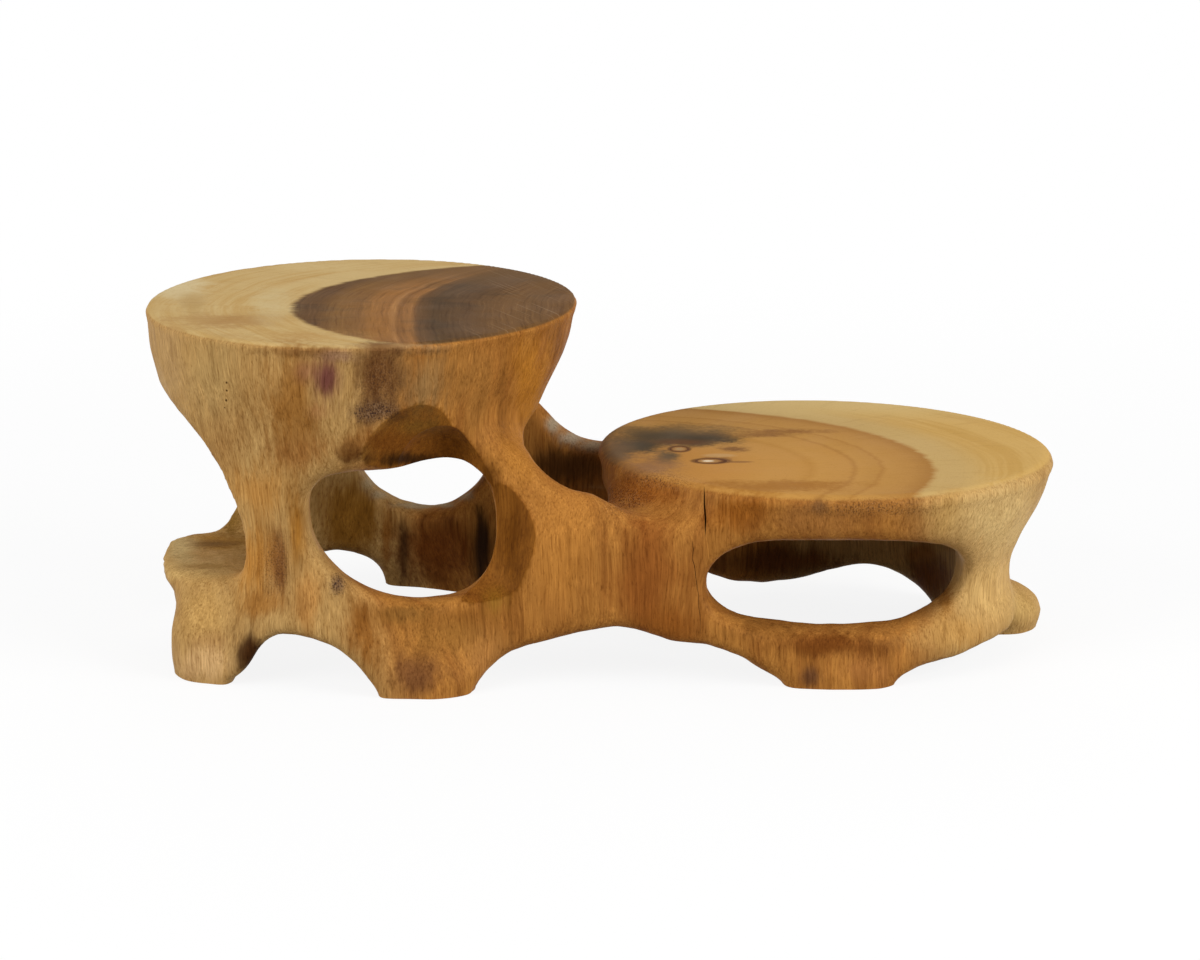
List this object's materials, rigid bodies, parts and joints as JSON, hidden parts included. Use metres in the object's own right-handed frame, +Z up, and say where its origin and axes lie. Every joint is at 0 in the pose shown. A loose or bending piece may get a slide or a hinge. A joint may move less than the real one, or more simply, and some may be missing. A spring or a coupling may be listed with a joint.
{
  "type": "two-level stool",
  "caption": "Two-level stool carved from one cross-cut log slice: a high oval seat and a low one on a hollowed, pierced wall with arched feet.",
  "frame": {"origin": "on the floor under the middle of the stool's overall length and depth", "axes": "+X along the length, from the high seat to the low seat; +Y from the front, which has the long slot under the low seat, to the back; +Z up"},
  "size_m": [0.6293, 0.3166, 0.242],
  "materials": {
    "oiled_wood": "satin, oiled and waxed: brown heartwood, with paler sapwood at both ends",
    "knot_wood": "satin, oiled and waxed"
  },
  "bodies": {
    "root": {"carved_body": "oiled_wood", "left_knot": "knot_wood", "right_knot": "knot_wood"}
  },
  "joints": []
}
